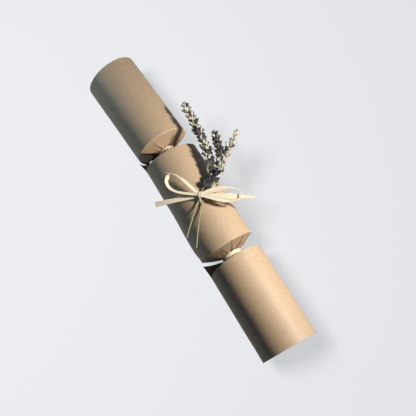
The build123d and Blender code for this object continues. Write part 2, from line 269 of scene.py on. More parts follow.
def paint(red, green, blue):
    """Linear colour of a written one, 0 to 255."""
    share = np.array([red, green, blue]) / 255
    linear = np.where(share <= 0.04045, share / 12.92, ((share + 0.055) / 1.055) ** 2.4)
    return (*linear.tolist(), 1)


def add(tree, kind, inputs=(), **options):
    """New shader node, its options set and its inputs joined to sockets or given values."""
    node = tree.nodes.new("ShaderNode" + kind)
    for option, value in options.items():
        setattr(node, option, value)
    for label, value in dict(inputs).items():
        if isinstance(value, bpy.types.NodeSocket):
            tree.links.new(value, node.inputs[label])
        else:
            node.inputs[label].default_value = value
    return node


def ramp(tree, factor, stops):
    """Colour of a factor, between written colours at their places."""
    node = add(tree, "ValToRGB", {"Fac": factor})
    elements = node.color_ramp.elements
    for place in list(stops)[2:]:
        elements.new(place)
    for element, (place, colour) in zip(elements, stops.items()):
        element.position = place
        element.color = paint(*colour)
    return node.outputs["Color"]


def noise(tree, place, scale, detail=2.0, roughness=0.5):
    """Value of a noise at a scale per metre, or at a scale for each axis, which draws it out into grain."""
    if isinstance(scale, tuple):
        place = add(tree, "Mapping", {"Vector": place, "Scale": scale}).outputs["Vector"]
        scale = 1.0
    inputs = {"Vector": place, "Scale": scale, "Detail": detail, "Roughness": roughness}
    return add(tree, "TexNoise", inputs).outputs["Fac"]


def mixed(tree, factor, first, second):
    """Two colours mixed by a factor."""
    return add(tree, "MixRGB", {"Fac": factor, "Color1": first, "Color2": second}).outputs["Color"]


def share_of(tree, value, amount):
    """A value times a fixed amount."""
    return add(tree, "Math", {0: value, 1: amount}, operation="MULTIPLY").outputs["Value"]


def covered(tree, body, cover, value, low, high, amount):
    """A body colour under a written one, which comes up to an amount as a value rises from low to high."""
    inputs = {"Value": value, "From Min": low, "From Max": high}
    rise = add(tree, "MapRange", inputs, interpolation_type="SMOOTHSTEP").outputs["Result"]
    return mixed(tree, share_of(tree, rise, amount), body, paint(*cover))


def new_finish(name, roughness, coordinates="Object"):
    """Material with its tree, its shader and the piece's own coordinates."""
    made = bpy.data.materials.new(name)
    made.use_nodes = True
    tree = made.node_tree
    shader = tree.nodes["Principled BSDF"]
    shader.inputs["Roughness"].default_value = roughness
    return made, tree, shader, add(tree, "TexCoord").outputs[coordinates]


def join_surface(tree, shader, colour, height, depth, strength=1.0):
    """Gives the shader its colour and a relief of a depth in metres."""
    tree.links.new(colour, shader.inputs["Base Color"])
    bump = add(tree, "Bump", {"Height": height, "Distance": depth, "Strength": strength})
    tree.links.new(bump.outputs["Normal"], shader.inputs["Normal"])


def tint_of(tree):
    """The tint that a piece's points carry."""
    return add(tree, "Attribute", attribute_name="tint").outputs["Fac"]


def kraft_finish(name, dark, middle, light):
    """Kraft card: cloudy tan, long faint grain, dark and pale flecks, a felted relief."""
    made, tree, shader, place = new_finish(name, 0.55)
    body = ramp(tree, noise(tree, place, 420, 5, 0.65), {0.3: dark, 0.5: middle, 0.7: light})
    grain = noise(tree, place, (160, 1400, 1400), 3, 0.65)
    body = covered(tree, body, light, grain, 0.42, 0.75, 0.25)
    body = covered(tree, body, (128, 94, 62), noise(tree, place, (700, 1500, 1100), 1), 0.68, 0.75, 0.35)
    body = covered(tree, body, (228, 206, 172), noise(tree, place, (1500, 700, 900), 1), 0.67, 0.75, 0.45)
    join_surface(tree, shader, body, noise(tree, place, 1700, 3, 0.7), 0.00012, 0.35)
    return made


def raffia_finish():
    """Raffia: cream fibres that run along the strand, pinkish and greyer where the tint rises."""
    made, tree, shader, place = new_finish("raffia_fibre", 0.6, "UV")
    shader.inputs["Sheen Weight"].default_value = 0.15
    fibre = noise(tree, place, (2600, 45, 1), 4, 0.6)
    body = ramp(tree, fibre, {0.3: (218, 201, 170), 0.5: (240, 227, 199), 0.7: (248, 240, 220)})
    body = covered(tree, body, (188, 162, 118), noise(tree, place, (7000, 90, 1)), 0.55, 0.75, 0.25)
    body = mixed(tree, share_of(tree, tint_of(tree), 0.8), body, paint(205, 178, 160))
    join_surface(tree, shader, body, fibre, 0.0003, 0.6)
    return made


def calyx_finish():
    """Dried lavender cup: straw at the foot, grey violet at the mouth, downy, dark or pale by its tint,
    partly painted shade and painted highlight.
    """
    made, tree, shader, place = new_finish("dried_calyx", 0.8)
    shader.inputs["Sheen Weight"].default_value = 0.08
    rise = add(tree, "SeparateXYZ", {"Vector": add(tree, "TexCoord").outputs["UV"]}).outputs["Y"]
    up_cup = ramp(tree, rise, {0.0: (150, 138, 102), 0.4: (150, 140, 126), 0.8: (112, 104, 104),
                               1.0: (66, 60, 66)})
    # The tint's near-black end is partly the cups' own dark colour and partly painted shade; its cream end is
    # partly painted highlight
    tone_with_painted_light = ramp(tree, tint_of(tree), {0.0: (34, 34, 38), 0.35: (64, 62, 70), 0.65: (206, 197, 176),
                                        1.0: (248, 241, 222)})
    down = noise(tree, place, 2600, 3, 0.7)
    body = covered(tree, mixed(tree, 0.75, up_cup, tone_with_painted_light), (224, 216, 192), down, 0.5, 0.75, 0.2)
    join_surface(tree, shader, body, down, 0.0002, 0.6)
    return made


def stem_finish():
    """Straw stem: pale green brown with fibres along it."""
    made, tree, shader, place = new_finish("straw_stem", 0.65, "UV")
    fibre = noise(tree, place, (9, 30, 1), 3, 0.6)
    body = ramp(tree, fibre, {0.3: (122, 112, 74), 0.55: (168, 156, 116), 0.75: (198, 186, 146)})
    join_surface(tree, shader, body, fibre, 0.0002, 0.5)
    return made


def paper_finish(name, dark, light, roughness, relief):
    """Thin paper: soft clouds of two tones and a fine crumple."""
    made, tree, shader, place = new_finish(name, roughness)
    cloud = noise(tree, place, 160, 4, 0.6)
    body = ramp(tree, cloud, {0.3: dark, 0.7: light})
    body = covered(tree, body, light, noise(tree, place, (300, 1600, 1600), 3, 0.6), 0.45, 0.75, 0.25)
    join_surface(tree, shader, body, cloud, relief, 0.5)
    return made


def wood_finish():
    """Turned wood: growth rings across the grain, fine pores, a low polish."""
    made, tree, shader, place = new_finish("turned_wood", 0.42)
    shader.inputs["Coat Weight"].default_value = 0.15
    rings = noise(tree, place, (40, 260, 420), 3, 0.55)
    pores = noise(tree, place, (260, 3200, 3200), 2, 0.6)
    body = ramp(tree, rings, {0.3: (176, 134, 86), 0.5: (206, 168, 118), 0.7: (220, 186, 140)})
    body = covered(tree, body, (142, 102, 62), pores, 0.58, 0.7, 0.35)
    join_surface(tree, shader, body, pores, 0.0001, 0.4)
    return made


def patch_finish():
    """Friction patch: dark, gritty and rough."""
    made, tree, shader, place = new_finish("friction_patch", 0.95)
    grit = noise(tree, place, 3000, 3, 0.7)
    body = ramp(tree, grit, {0.35: (52, 46, 44), 0.6: (92, 82, 78), 0.75: (128, 116, 108)})
    join_surface(tree, shader, body, grit, 0.0003)
    return made


def resin_finish(name, dark, light, roughness):
    """Set glue or tape: cloudy, smooth and a little glossy."""
    made, tree, shader, place = new_finish(name, roughness)
    cloud = noise(tree, place, 420, 3, 0.5)
    join_surface(tree, shader, ramp(tree, cloud, {0.35: dark, 0.65: light}), cloud, 0.0002, 0.3)
    return made


kraft = kraft_finish("kraft_card", (190, 161, 130), (197, 169, 138), (204, 177, 146))
raw_edge = kraft_finish("kraft_raw_edge", (204, 176, 140), (220, 196, 162), (234, 214, 184))
raffia = raffia_finish()
calyx = calyx_finish()
straw = stem_finish()
tissue = paper_finish("tissue_paper", (142, 34, 40), (176, 52, 56), 0.75, 0.0004)
plain_paper = paper_finish("motto_paper", (226, 222, 210), (241, 238, 229), 0.8, 0.0001)
grey_board = paper_finish("snap_board", (176, 168, 152), (198, 191, 175), 0.88, 0.0001)
wood = wood_finish()
grit_patch = patch_finish()
tape = resin_finish("seam_tape", (206, 198, 176), (222, 216, 198), 0.25)
glue = resin_finish("set_glue", (208, 196, 168), (228, 218, 194), 0.3)


def card_piece(name, parts, body=None, node=None):
    """Kraft card with pale raw edges."""
    return piece_from(name, parts, [kraft, raw_edge], body, node)


def raffia_piece(name, parts, body, node=None):
    """Raffia strands joined into one piece."""
    return piece_from(name, parts, [raffia], body, node)


# Card tubes

square_rim = (0, 0, 0, 0)


class Tube:
    """A card tube's axis: a point on it, its heading from +X, and its two ends along it.

    Each rim strays from square by millimetres: a level part, a part at the top, a part at the +Y side and a
    part that grows underneath. Bulge is how far the wall swells at the -Y side, a little before its end.
    """

    def __init__(self, origin, heading, start, end, start_stray=square_rim, end_stray=square_rim, bulge=0):
        self.origin = np.array(origin)
        self.forward = np.array([np.cos(heading), np.sin(heading), 0])
        self.start = start
        self.end = end
        self.strays = {start: start_stray, end: end_stray}
        self.outward = {start: -1, end: 1}
        self.bulge = bulge

    def swelling(self, share, angle):
        """How far the wall swells at a share of its length and an angle."""
        turn = (np.degrees(angle) + 95 + 180) % 360 - 180
        rise = smooth_step(0.4, 0.85, share) * smooth_step(1, 0.88, share)
        return self.bulge * rise * np.exp(-(turn / 38) ** 2)

    def stray(self, rim, angle):
        """How far a rim strays along the axis at an angle."""
        level, top, side, under = self.strays[rim]
        below = smooth_step(0, -1, np.cos(angle))
        return (level + top * np.cos(angle) + side * np.sin(angle) + under * below) * mm

    def place(self, along, radius, angle):
        """Points at a length along the axis and a radius at an angle, held above the seam flat."""
        flat = np.maximum(tube_radius - radius, 0) - axis_height
        lift = np.maximum(radius * np.cos(angle), flat)
        side = radius * np.sin(angle)
        x = self.origin[0] + along * self.forward[0] - side * self.forward[1]
        y = self.origin[1] + along * self.forward[1] + side * self.forward[0]
        return joined(x, y, self.origin[2] + lift)


barrel = Tube((0, 0, axis_height), 0, barrel_low.x, barrel_high.x, (-1.8, 1.5, 1.3, 3.3),
              (-2.5, 3.7, -0.1, 0), 1.2 * mm)
left_handle = Tube(left_neck, left_bend, -left_mouth, -left_half_gap, (-2.5, 2.1, -1.6, 4.6),
                   (-1.0, 0.6, 0.5, -3))
right_handle = Tube(right_neck, 0, right_half_gap, right_mouth, (0.2, -0.5, -0.8, 2), (-2.2, 2.6, 0.6, 0))


def waves(share, angle, seed):
    """Soft dents: four waves round and along the tube, each with its own phase, from -1 to 1."""
    draw = np.random.default_rng(seed)
    total = 0
    for count in (2, 3, 4, 5):
        turn, slide = draw.uniform(0, 2 * np.pi, 2)
        total = total + np.sin(count * angle + turn) * np.cos(np.pi * count * share + slide)
    return total / 4


def seam_strip(tube, half_width, lift, thickness):
    """Flat strip that lies along the seam flat inside a tube, a little short of both rims."""
    first = tube.start + 1.5 * mm + tube.stray(tube.start, np.pi)
    last = tube.end - 1.5 * mm + tube.stray(tube.end, np.pi)
    along, side = grid(np.linspace(first, last, 30), np.linspace(-half_width, half_width, 8))
    height = lift + 0.02 * mm * np.sin(along / (7 * mm)) - axis_height
    top, under = [tube.place(along, np.hypot(side, level), np.arctan2(side, level))
                  for level in (height + thickness, height)]
    return slab(top, under, joined(side, along))


def card_tube(body, tube, folded, seed):
    """Card wall: rings from end to end, dented a little between the ends, with a lap strip inside its seam.

    At a folded end the wall stops short of the rim, where the tabs take over. Tape holds the lap.
    """
    start = tube.start + fold_back * folded[0]
    end = tube.end - fold_back * folded[1]
    share = np.concatenate([[0, 0.002, 0.006, 0.015], np.linspace(0.04, 0.96, 34), [0.985, 0.994, 0.998, 1]])
    share, angle = grid(share, full_turn(240))
    dent = 0.14 * mm * waves(share, angle, seed) * smooth_step(0, 0.1, share) * smooth_step(1, 0.9, share)
    ragged = np.random.default_rng(seed + 1).normal(0, 0.05 * mm, angle.shape[1])
    along = start + (end - start) * share + ragged * (share == (0 if folded[1] else 1))
    along = along + tube.stray(tube.start, angle) * (1 - share) + tube.stray(tube.end, angle) * share
    dent = dent + tube.swelling(share, angle)
    outer = tube.place(along, tube_radius + dent, angle)
    inner = tube.place(along, tube_radius - card + dent, angle)
    wall = slab(outer, inner, joined(angle * tube_radius, along), wrap=True)
    lap = seam_strip(tube, 4.5 * mm, card + seam_tape_thickness, card)
    strip = seam_strip(tube, 4.4 * mm, card, seam_tape_thickness)
    piece_from(body + "_tape", [strip], [tape], body, body + "_seam_tape")
    return card_piece(body + "_card", [wall, lap], body, body + "_tube")


tab_rows = np.array([0, 0.012, 0.03, 0.06, 0.11, 0.18, 0.27, 0.37, 0.48, 0.6, 0.71, 0.81, 0.9, 0.96, 1.0])


def folded_tab(tube, rim, low, high, draw, ragged, dash_rows):
    """One tab, ruled from the rim's arc to a straight chord at the neck.

    It bows out a little, one side lies deeper than the other, and fine pleats gather it near the neck.
    Perforation dashes stand pale on its fold.
    """
    inward = tube.outward[rim]
    columns = max(9, int(np.degrees(high - low) * 1.2))
    share, across = grid(tab_rows, np.linspace(0, 1, columns))
    tip = throat_radius + ragged * draw.normal(0, 0.35 * mm, columns)
    radius = tube_radius + (tip - tube_radius) * share
    slit = (0.06 + 0.5 * share) * mm / radius
    angle = low + slit + (high - low - 2 * slit) * across
    bow, tilt, pleat = draw.uniform((0.2, -0.7, 0.1), (0.9, 0.7, 0.35)) * mm
    pleats = draw.integers(2, 4)
    fall = tab_depth * share + bow * np.sin(np.pi * share)
    fall = fall + tilt * (across - 0.5) * smooth_step(0.1, 0.8, share)
    fall = fall + pleat * np.sin(2 * np.pi * pleats * across) * smooth_step(0.45, 1, share)
    fall = fall - fold_back * smooth_step(0.014, 0, share)
    dash = np.sin(50 * angle + 0.6) > -0.1
    radius = radius + 0.1 * mm * dash * smooth_step(0.06, 0.012, share)
    along = rim + tube.stray(rim, angle) * (1 - share) + inward * fall
    arc = tube.place(0 * along, radius, angle)
    chord = arc[:, :1] + (arc[:, -1:] - arc[:, :1]) * across[..., None]
    outer = arc + (chord - arc) * smooth_step(0.05, 0.5, share)[..., None] + tube.forward * along[..., None]
    shrink = tube.place(0 * along, radius - card, angle) - arc
    inner = outer - inward * card * tube.forward * smooth_step(0, 0.02, share)[..., None]
    inner = inner + shrink * smooth_step(0.05, 0, share)[..., None]
    pale = np.zeros((len(tab_rows) - 1, columns - 1))
    pale[:dash_rows] = dash[:dash_rows, 1:]
    return slab(outer, inner, joined(angle, share) * tube_radius, pale=pale)


def shoulder(tube, rim, slits, seed, ragged, skip=None, dash_rows=2):
    """Tabs between slits, folded in from a rim to the neck, cut short where a range of angles is skipped."""
    spans = []
    for first, last in zip(slits, slits[1:] + [slits[0] + 360]):
        if skip and first < skip[1] and last > skip[0]:
            spans += [span for span in ((first, skip[0]), (skip[1], last)) if span[1] - span[0] > 4]
        else:
            spans.append((first, last))
    draw = np.random.default_rng(seed)
    return [folded_tab(tube, rim, *np.radians(span), draw, ragged, dash_rows) for span in spans]


def loose_flap(tube, rim, sides, seed):
    """A tab that was left unfolded: the tube's wall carried straight on, its free edge a little sprung."""
    inward = tube.outward[rim]
    share, across = grid(np.linspace(0, 1, 14), np.linspace(0, 1, 34))
    angle, length, spring = [first + (last - first) * across for first, last in zip(*sides)]
    angle = np.radians(angle)
    ragged = np.random.default_rng(seed).normal(0, 0.12 * mm, share.shape[1])
    reach = length * mm * share + ragged * smooth_step(0.8, 1, share)
    along = rim + tube.stray(rim, angle) + inward * reach - inward * fold_back * (1 - share)
    radius = tube_radius + spring * mm * share ** 1.5
    outer = tube.place(along, radius, angle)
    inner = tube.place(along, radius - card, angle)
    return slab(outer, inner, joined(angle * tube_radius, along), border=0)


card_tube("barrel", barrel, (True, True), 3)
card_tube("left_handle", left_handle, (False, True), 5)
right_handle_card = card_tube("right_handle", right_handle, (True, False), 8)
left_loose_tab = card_piece("left_handle_loose_tab", [
    loose_flap(left_handle, left_handle.end, handle_flap, 16)], "left_handle")
right_loose_tab = card_piece("right_handle_loose_tab", [
    loose_flap(right_handle, right_handle.start, right_flap, 18)], "right_handle")

barrel_left_slits = [-148, -121, -92, -61, -33, -4, 27, 58, 88, 117, 149, 180]
barrel_right_slits = [-146, -113, -84, -52, -14, 13.5, 46, 74, 105, 133, 162, 188]
left_handle_slits = [-150, -119, -88, -55, -16, 41, 66, 94, 122, 151, 181]
right_handle_slits = [-147, -118, -89, -60, -31, -2, 30, 61, 90, 121, 150, 183]
card_piece("barrel_left_shoulder", [
    *shoulder(barrel, barrel.start, barrel_left_slits, 11, 1, left_skip),
    loose_flap(barrel, barrel.start, left_flap, 12)], "barrel", "barrel_left_tabs")
card_piece("barrel_right_shoulder", shoulder(barrel, barrel.end, barrel_right_slits, 13, 1),
           "barrel", "barrel_right_tabs")
left_handle_shoulder = card_piece("left_handle_shoulder", shoulder(
    left_handle, left_handle.end, left_handle_slits, 15, 0, handle_skip, 3))
right_handle_shoulder = card_piece("right_handle_shoulder", shoulder(
    right_handle, right_handle.start, right_handle_slits, 17, 0, right_skip))
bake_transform(left_handle_shoulder)
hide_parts("left_handle_tabs")
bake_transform(right_handle_shoulder)
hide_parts("right_handle_tabs")


# Necks

def neck_pleats(neck, away, half_length, seed):
    """Gathered throat: a sleeve of pleats, torn at the barrel's end, and crumpled folds in its bore."""
    draw = np.random.default_rng(seed)
    throat = Tube(neck, 0, -half_length, half_length)
    share, angle = grid(np.linspace(-1, 1, 17), full_turn(216))
    phase = 13 * angle + 0.9 * np.sin(3 * angle + draw.uniform(0, 6)) + 0.5 * np.sin(5 * angle)
    fold = np.abs(np.sin(phase / 2)) ** 0.7
    depth = (0.55 + 0.5 * np.abs(share)) * mm
    torn = draw.normal(0, 0.3 * mm, angle.shape[1]) * smooth_step(-0.7, -1, share)
    along = away * (half_length * share + torn)
    radius = throat_radius - 0.2 * mm - depth * (1 - fold) + 0.35 * mm * share ** 2
    outer = throat.place(along, radius, angle)
    inner = throat.place(along, radius - card, angle)
    sleeve = slab(outer, inner, joined(angle * throat_radius, along), wrap=True)
    reach, angle = grid(np.linspace(0.06, 1, 14), full_turn(120))
    crumple = np.abs(np.sin(5 * angle + 1.5 * np.sin(2 * angle))) * reach * (1.15 - reach)
    along = away * (crumple * 2.2 * mm - 0.4 * mm)
    radius = reach * (throat_radius - 1.1 * mm)
    face = throat.place(along, radius, angle)
    rear = throat.place(along - away * card, radius, angle)
    return [sleeve, slab(face, rear, joined(angle * throat_radius, radius), wrap=True)]


def strip_part(line, across, normal, width, thickness, tint):
    """Flat strand along a line: a shallow trough with two lengthwise creases, thinner towards its edges."""
    over = np.linspace(-0.5, 0.5, 11)
    crease = 0.1 * np.abs(over * 4 - np.round(over * 4)) + 0.28 * over ** 2
    across = np.broadcast_to(across, line.shape)[:, None]
    width = np.broadcast_to(width, len(line))[:, None]
    normal = normal[:, None]
    middle = line[:, None] + across * (width * over)[..., None] + normal * (width * crease)[..., None]
    half = normal * (thickness * (0.55 - 0.35 * np.abs(over)))[:, None]
    part = slab(middle + half, middle - half, joined(width * over, run_along(line)[:, None]))
    tints = np.repeat(np.broadcast_to(tint, len(line)), len(over))
    return tinted(part, np.concatenate([tints, tints]))


def neck_tie(neck, shift, seed):
    """Raffia tie: a flat strand wound twice round the throat, a knot underneath and two cut ends."""
    draw = np.random.default_rng(seed)
    x_axis = np.array([1.0, 0, 0])
    turn = np.linspace(-np.pi, 3 * np.pi, 180)
    share = (turn + np.pi) / (4 * np.pi)
    drift = shift + 0.45 * mm * np.sin(turn / 2 + 0.4) + 0.12 * mm * np.sin(3 * turn + draw.uniform(0, 6))
    radius = throat_radius + (0.35 + 0.45 * share + 0.06 * np.sin(5 * turn)) * mm
    out = joined(0, np.sin(turn), np.cos(turn))
    line = np.array(neck) + out * radius[:, None] + joined(drift, 0, 0)
    width = (2.5 + 0.25 * np.sin(2.3 * turn + draw.uniform(0, 6))) * mm
    parts = [strip_part(line, x_axis, out, width, raffia_thickness * 1.2, 0.1 + 0.1 * np.sin(turn) ** 2)]
    foot = np.array(neck) + (shift, 0, -throat_radius - 0.7 * mm)
    turn = np.linspace(0, 2 * np.pi, 40)
    ring = foot + joined(0.3 * np.sin(turn), 1.08 * np.cos(turn), 1.1 * np.sin(turn)) * mm
    ring_out = joined(0, np.cos(turn), np.sin(turn))
    parts.append(strip_part(ring, x_axis, ring_out, 2.0 * mm, raffia_thickness, 0.2))
    share = np.linspace(0, 1, 24)
    width = (1.5 + 0.9 * share) * mm
    for side in (-1, 1):
        tail = foot + joined(1.2 * side * share, 3.6 * side * share ** 1.3, -5.0 * share) * mm
        direction = unit(np.gradient(tail, axis=0))
        across = unit(np.cross(direction, (0.3 * side, 1.0, 0.2)))
        normal = np.cross(across, direction)
        parts.append(strip_part(tail, across, normal, width, raffia_thickness, share * 0.6))
    return parts


for body, neck, away, half_gap, tie_shift, seed in (
        ("left_neck", left_neck, -1, left_half_gap, -1.3 * mm, 21),
        ("right_neck", right_neck, 1, right_half_gap, -0.2 * mm, 23)):
    card_piece(body + "_pleats", neck_pleats(neck, away, half_gap - tab_depth, seed), body, body + "_gather")
    raffia_piece(body + "_raffia", neck_tie(neck, tie_shift, seed + 10), body, body + "_tie")


# Raffia bow

def from_knot(x, y, lift):
    """Point beside the knot, from millimetres."""
    return (bow_x + x * mm, bow_y + y * mm, bow_seat + lift)


def loop_route(points, heading, rise):
    """Route of a loop: its points round the knot, rising or falling along the heading."""
    away = np.radians(heading)
    return [from_knot(x, y, loop_lift + rise * (x * np.cos(away) + y * np.sin(away)) * mm) for x, y in points]


def tail_route(points, heading):
    """Route of a tail: how far out along the heading and how high each point is."""
    away = np.radians(heading)
    return [from_knot(out * np.cos(away), out * np.sin(away), tail_lift + drop * mm) for out, drop in points]


def bow_strand(name, node, route, widths, leans, tints, seed, samples=110):
    """Free raffia strand: width, lean and tint follow the share of its length; the lean turns it on edge.
    """
    line, length = route_line(route, samples)
    direction, level, rise = line_frames(line)
    share = np.linspace(0, 1, samples)
    draw = np.random.default_rng(seed)
    lean = np.radians(np.interp(share, *zip(*leans)))[:, None]
    across = np.cos(lean) * level + np.sin(lean) * rise
    normal = np.cross(across, direction)
    ripple = sum(np.sin(rate * share + draw.uniform(0, 6)) for rate in (9, 17, 31)) / 3
    width = np.interp(share, *zip(*widths)) * mm * (1 + 0.06 * ripple)
    part = strip_part(line, across, normal, width, raffia_thickness, np.interp(share, *zip(*tints)))
    made = raffia_piece(name, [part], "barrel", node)


left_loop_route = loop_route([(-1.2, -0.6), (-13.0, -3.6), (-24.0, -6.6), (-30.0, -12.5), (-26.0, -19.0),
                              (-17.5, -19.5), (-9.0, -13.0), (-0.9, -1.3)], 213, 0.07)
right_loop_route = loop_route([(0.3, 1.3), (2.6, 12.0), (6.2, 21.5), (11.5, 29.0), (18.0, 31.0), (21.5, 25.5),
                               (17.0, 17.0), (9.0, 8.8), (1.0, 0.9)], 58, -0.06)
left_tail_route = tail_route([(1.2, 0.0), (14.0, 0.0), (27.0, -0.3), (39.2, -1.0)], 248)
right_tail_route = tail_route([(1.2, 0.0), (14.0, -0.4), (28.0, -1.7), (46.0, -4.5)], 56.5)
splinter_route = loop_route([(-15.0, -4.0), (-22.0, -6.0), (-28.0, -10.0), (-32.5, -15.0)], 213, 0.07)

# Widths in millimetres, leans in degrees and tints, each after its share of the strand's length
bow_strand("bow_left_loop_raffia", "bow_left_loop", left_loop_route,
           [(0, 2.2), (0.1, 3.2), (0.35, 4.0), (0.55, 4.6), (0.8, 4.2), (1, 2.4)],
           [(0, 150), (0.25, 140), (0.38, 108), (0.48, 66), (0.6, 55), (0.8, 45), (1, 30)],
           [(0, 0), (1, 0.05)], 41)
bow_strand("bow_right_loop_raffia", "bow_right_loop", right_loop_route,
           [(0, 2.6), (0.1, 4.4), (0.22, 4.2), (0.36, 1.9), (0.44, 1.1), (0.54, 1.0), (0.62, 2.4),
            (0.75, 4.8), (1, 2.8)],
           [(0, 0), (0.2, 5), (0.34, 25), (0.5, 60), (0.6, 30), (0.75, 0), (1, 0)],
           [(0, 0), (0.45, 0.5), (0.7, 0.1), (1, 0)], 43)
bow_strand("bow_left_tail_raffia", "bow_left_tail", left_tail_route,
           [(0, 2.4), (0.2, 3.2), (0.6, 4.2), (1, 5.0)], [(0, 10), (0.5, -8), (1, 6)],
           [(0, 0), (0.5, 0.05), (1, 0.2)], 45)
bow_strand("bow_right_tail_raffia", "bow_right_tail", right_tail_route,
           [(0, 2.6), (0.2, 4.4), (0.55, 5.0), (0.8, 3.2), (1, 1.6)], [(0, 5), (0.5, -10), (1, 20)],
           [(0, 0), (0.55, 0.1), (1, 0.5)], 47)
bow_strand("bow_left_splinter", None, splinter_route, [(0, 0.5), (0.5, 1.6), (1, 0.25)], [(0, 60), (1, 30)],
           [(0, 0), (1, 0.2)], 49, samples=40)


def bow_knot():
    """Knot: a strand wound one and a half times round the gathered strands, and its cut end."""
    away = np.radians(59)
    bow_axis = np.array([np.cos(away), np.sin(away), 0])
    level = np.array([-np.sin(away), np.cos(away), 0])
    up = np.array([0, 0, 1])
    centre = np.array(from_knot(0, 0, 2.9 * mm))
    share = np.linspace(0, 1, 120)
    turn = (3.1 * share - 0.6) * np.pi
    out = np.outer(np.cos(turn), level) + np.outer(np.sin(turn), up)
    radius = (2.55 + 0.5 * share) * mm
    slide = (share - 0.5 + 0.2 * np.sin(turn)) * mm
    line = centre + out * radius[:, None] * (1, 1, 1.02) + np.outer(slide, bow_axis)
    width = (2.3 + 0.3 * np.sin(2 * turn)) * mm
    wound = strip_part(line, bow_axis, out, width, raffia_thickness * 1.4, 0.02)
    turn = full_turn(32)
    place = np.linspace(-3.4, 3.4, 15)[:, None]
    girth = (2.35 - 0.5 * (place / 3.4) ** 2 + 0.16 * np.sin(5 * turn)) * mm
    ring = np.outer(np.cos(turn), level) + np.outer(np.sin(turn), 0.95 * up)
    core = centre + ring * girth[..., None] + place[..., None] * mm * bow_axis
    share = np.linspace(0, 1, 24)
    lift = (0.4 * share - 1.4 * share ** 2) * mm
    tag = centre - 2.4 * mm * level + np.outer(lift, up)
    tag = tag + np.outer(share, 0.8 * mm * bow_axis - 4.2 * mm * level)
    _, across, normal = line_frames(tag)
    tag_end = strip_part(tag, across, normal, (1.7 - 1.3 * share) * mm, raffia_thickness, share * 0.3)
    raffia_piece("bow_knot_raffia", [wound, tinted(loft(core), 0.1), tag_end], "barrel", "bow_knot")


bow_knot()


# Lavender

def turned_to(directions, spins):
    """Rotation matrices that carry +Z to each direction after a spin about it."""
    across = unit(np.cross(directions, (0.31, 0.17, 0.93)))
    third = np.cross(directions, across)
    cos, sin = np.cos(spins)[:, None], np.sin(spins)[:, None]
    return joined(cos * across + sin * third, -sin * across + cos * third, directions)


def cup_shape():
    """One calyx: ribbed cup that swells above its foot, draws in and opens in teeth, closed by a sunk floor.

    Each row gives a height, a height on the UV map, a girth, and how far ribs and teeth show.
    """
    up, rise, girth, rib, tooth = np.array([
        (0, 0, 0.36, 0, 0), (0.3, 0.3, 0.94, 1, 0), (0.65, 0.65, 1.0, 1, 0),
        (0.88, 0.88, 0.82, 1, 0.3), (1.0, 1.0, 1.04, 1, 1), (0.8, 1.0, 0.4, 0, 0)]).T[..., None]
    turn = full_turn(8)
    wave = np.cos(4 * turn)
    radius = girth * (1 + 0.1 * rib * wave)
    shape = joined(radius * np.cos(turn), radius * np.sin(turn), up + 0.11 * tooth * wave)
    return shape, joined(np.linspace(0, 1, 8), rise)


def bract_shape():
    """One papery bract: a pointed leaf, cupped across and curling back at its tip."""
    up, over = grid(np.linspace(0, 1, 6), np.linspace(-1, 1, 5))
    half = 0.42 * np.sin(np.pi * np.clip(up, 0.06, 0.97) ** 0.7)
    return joined(half * over, 0.25 * up ** 2 + 0.2 * half * over ** 2, up)


